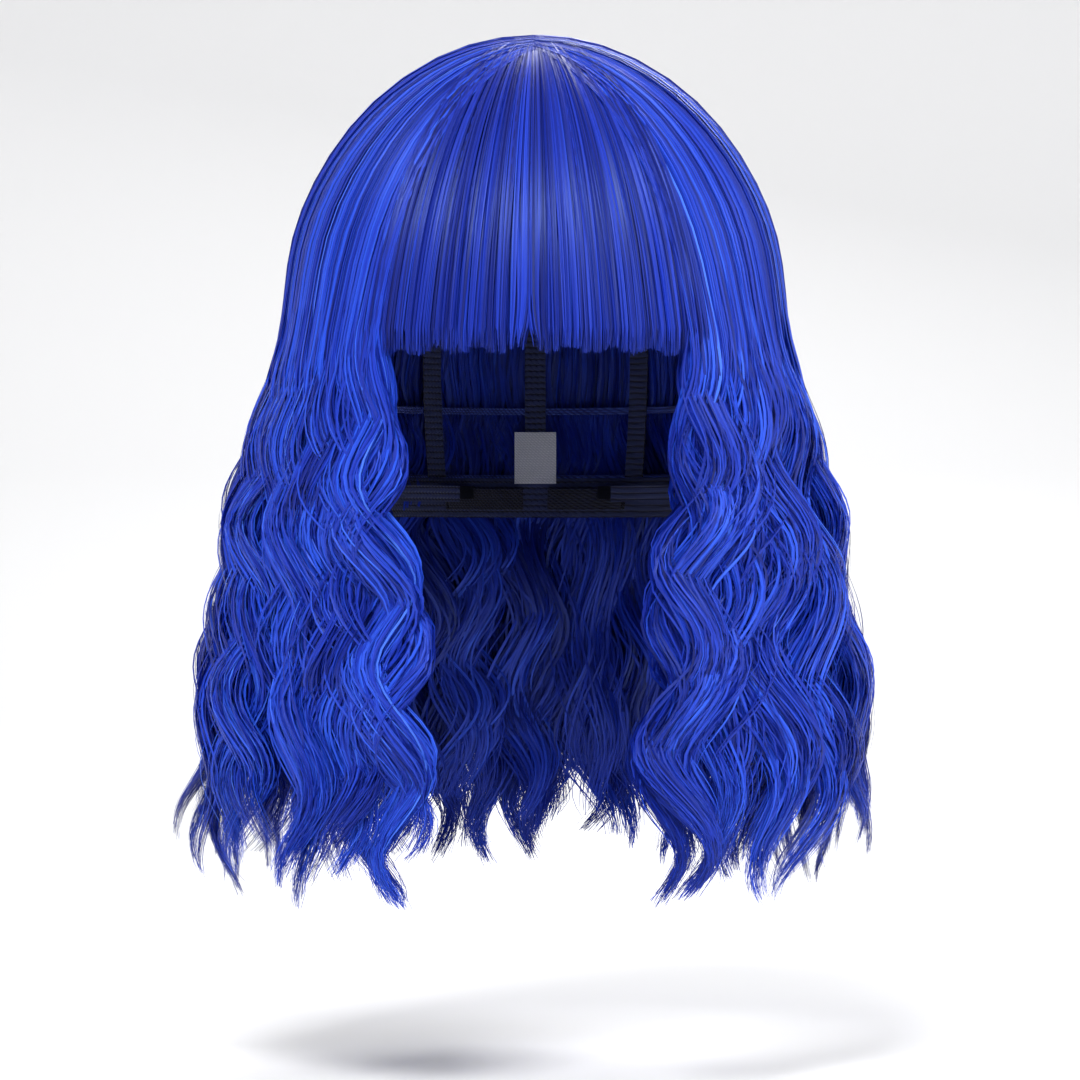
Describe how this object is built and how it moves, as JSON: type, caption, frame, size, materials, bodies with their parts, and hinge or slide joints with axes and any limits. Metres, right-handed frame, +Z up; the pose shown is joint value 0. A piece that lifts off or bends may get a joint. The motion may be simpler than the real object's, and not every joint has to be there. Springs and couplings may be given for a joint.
{
  "type": "costume wig",
  "caption": "Shoulder-length wavy bob wig with a full fringe and a short centre parting, on an adjustable net cap with straps and snap clips.",
  "frame": {"origin": "inside of the crown, where the top of the wearer's head rests", "axes": "+Z up, -Y towards the face, +X to the wearer's left"},
  "size_m": [0.249, 0.2423, 0.3061],
  "materials": {
    "blue_fibre": "glossy synthetic fibre",
    "weft_tape": "stitched tape",
    "cap_net": "stretch net",
    "skin_mesh": "fine mesh tinted with the fibre colour",
    "elastic": "woven elastic",
    "cap_band": "soft band with velvet face",
    "stay_plastic": "satin",
    "pocket_tape": "folded tape with bar tacks",
    "hook_plastic": "moulded",
    "clip_steel": "black enamel",
    "clip_silicone": "translucent silicone",
    "label_satin": "satin"
  },
  "bodies": {
    "wig": {"back_hair_1": "blue_fibre", "back_hair_2": "blue_fibre", "back_hair_3": "blue_fibre", "back_hair_4": "blue_fibre", "back_header_1": "weft_tape", "back_header_2": "weft_tape", "back_header_3": "weft_tape", "back_header_4": "weft_tape", "back_rib_1": "elastic", "back_rib_2": "elastic", "back_rib_3": "elastic", "back_rib_4": "elastic", "back_rib_5": "elastic", "crown_net": "cap_net", "fringe_hair_top": "blue_fibre", "fringe_hair_under": "blue_fibre", "fringe_header_1": "weft_tape", "front_band": "cap_band", "left_clip_frame": "clip_steel", "left_clip_sleeve": "clip_silicone", "left_crown_back_hair": "blue_fibre", "left_crown_side_hair": "blue_fibre", "left_ear_stay": "stay_plastic", "left_ear_tab": "cap_band", "left_front_lock": "blue_fibre", "left_pocket_tape": "pocket_tape", "left_side_hair_1": "blue_fibre", "left_side_hair_2": "blue_fibre", "left_side_header_1": "weft_tape", "left_side_header_2": "weft_tape", "left_strap": "elastic", "nape_band": "elastic", "parting_skin": "skin_mesh", "right_clip_frame": "clip_steel", "right_clip_sleeve": "clip_silicone", "right_crown_back_hair": "blue_fibre", "right_crown_side_hair": "blue_fibre", "right_ear_stay": "stay_plastic", "right_ear_tab": "cap_band", "right_front_lock": "blue_fibre", "right_pocket_tape": "pocket_tape", "right_side_hair_1": "blue_fibre", "right_side_hair_2": "blue_fibre", "right_side_header_1": "weft_tape", "right_side_header_2": "weft_tape", "right_strap": "elastic", "size_label": "label_satin"},
    "left_hook": {"left_hook": "hook_plastic"},
    "right_hook": {"right_hook": "hook_plastic"},
    "left_clip_comb": {"left_clip_comb": "clip_steel"},
    "right_clip_comb": {"right_clip_comb": "clip_steel"}
  },
  "joints": [
    {"name": "left_hook_slide", "type": "hinge", "parent": "wig", "child": "left_hook", "pos_m": [0, 0.0317, -0.156], "axis": [0, 0, 1], "range_deg": [0, 16], "deforming": ["left_strap"]},
    {"name": "right_hook_slide", "type": "hinge", "parent": "wig", "child": "right_hook", "pos_m": [0, 0.0317, -0.156], "axis": [0, 0, -1], "range_deg": [0, 16], "deforming": ["right_strap"]},
    {"name": "left_clip_snap", "type": "hinge", "parent": "wig", "child": "left_clip_comb", "pos_m": [0.05543, -0.04788, -0.06408], "axis": [0.4731, 0.881, 0], "range_deg": [0, 28]},
    {"name": "right_clip_snap", "type": "hinge", "parent": "wig", "child": "right_clip_comb", "pos_m": [-0.05543, -0.04788, -0.06408], "axis": [0.4731, -0.881, 0], "range_deg": [0, 28]}
  ]
}
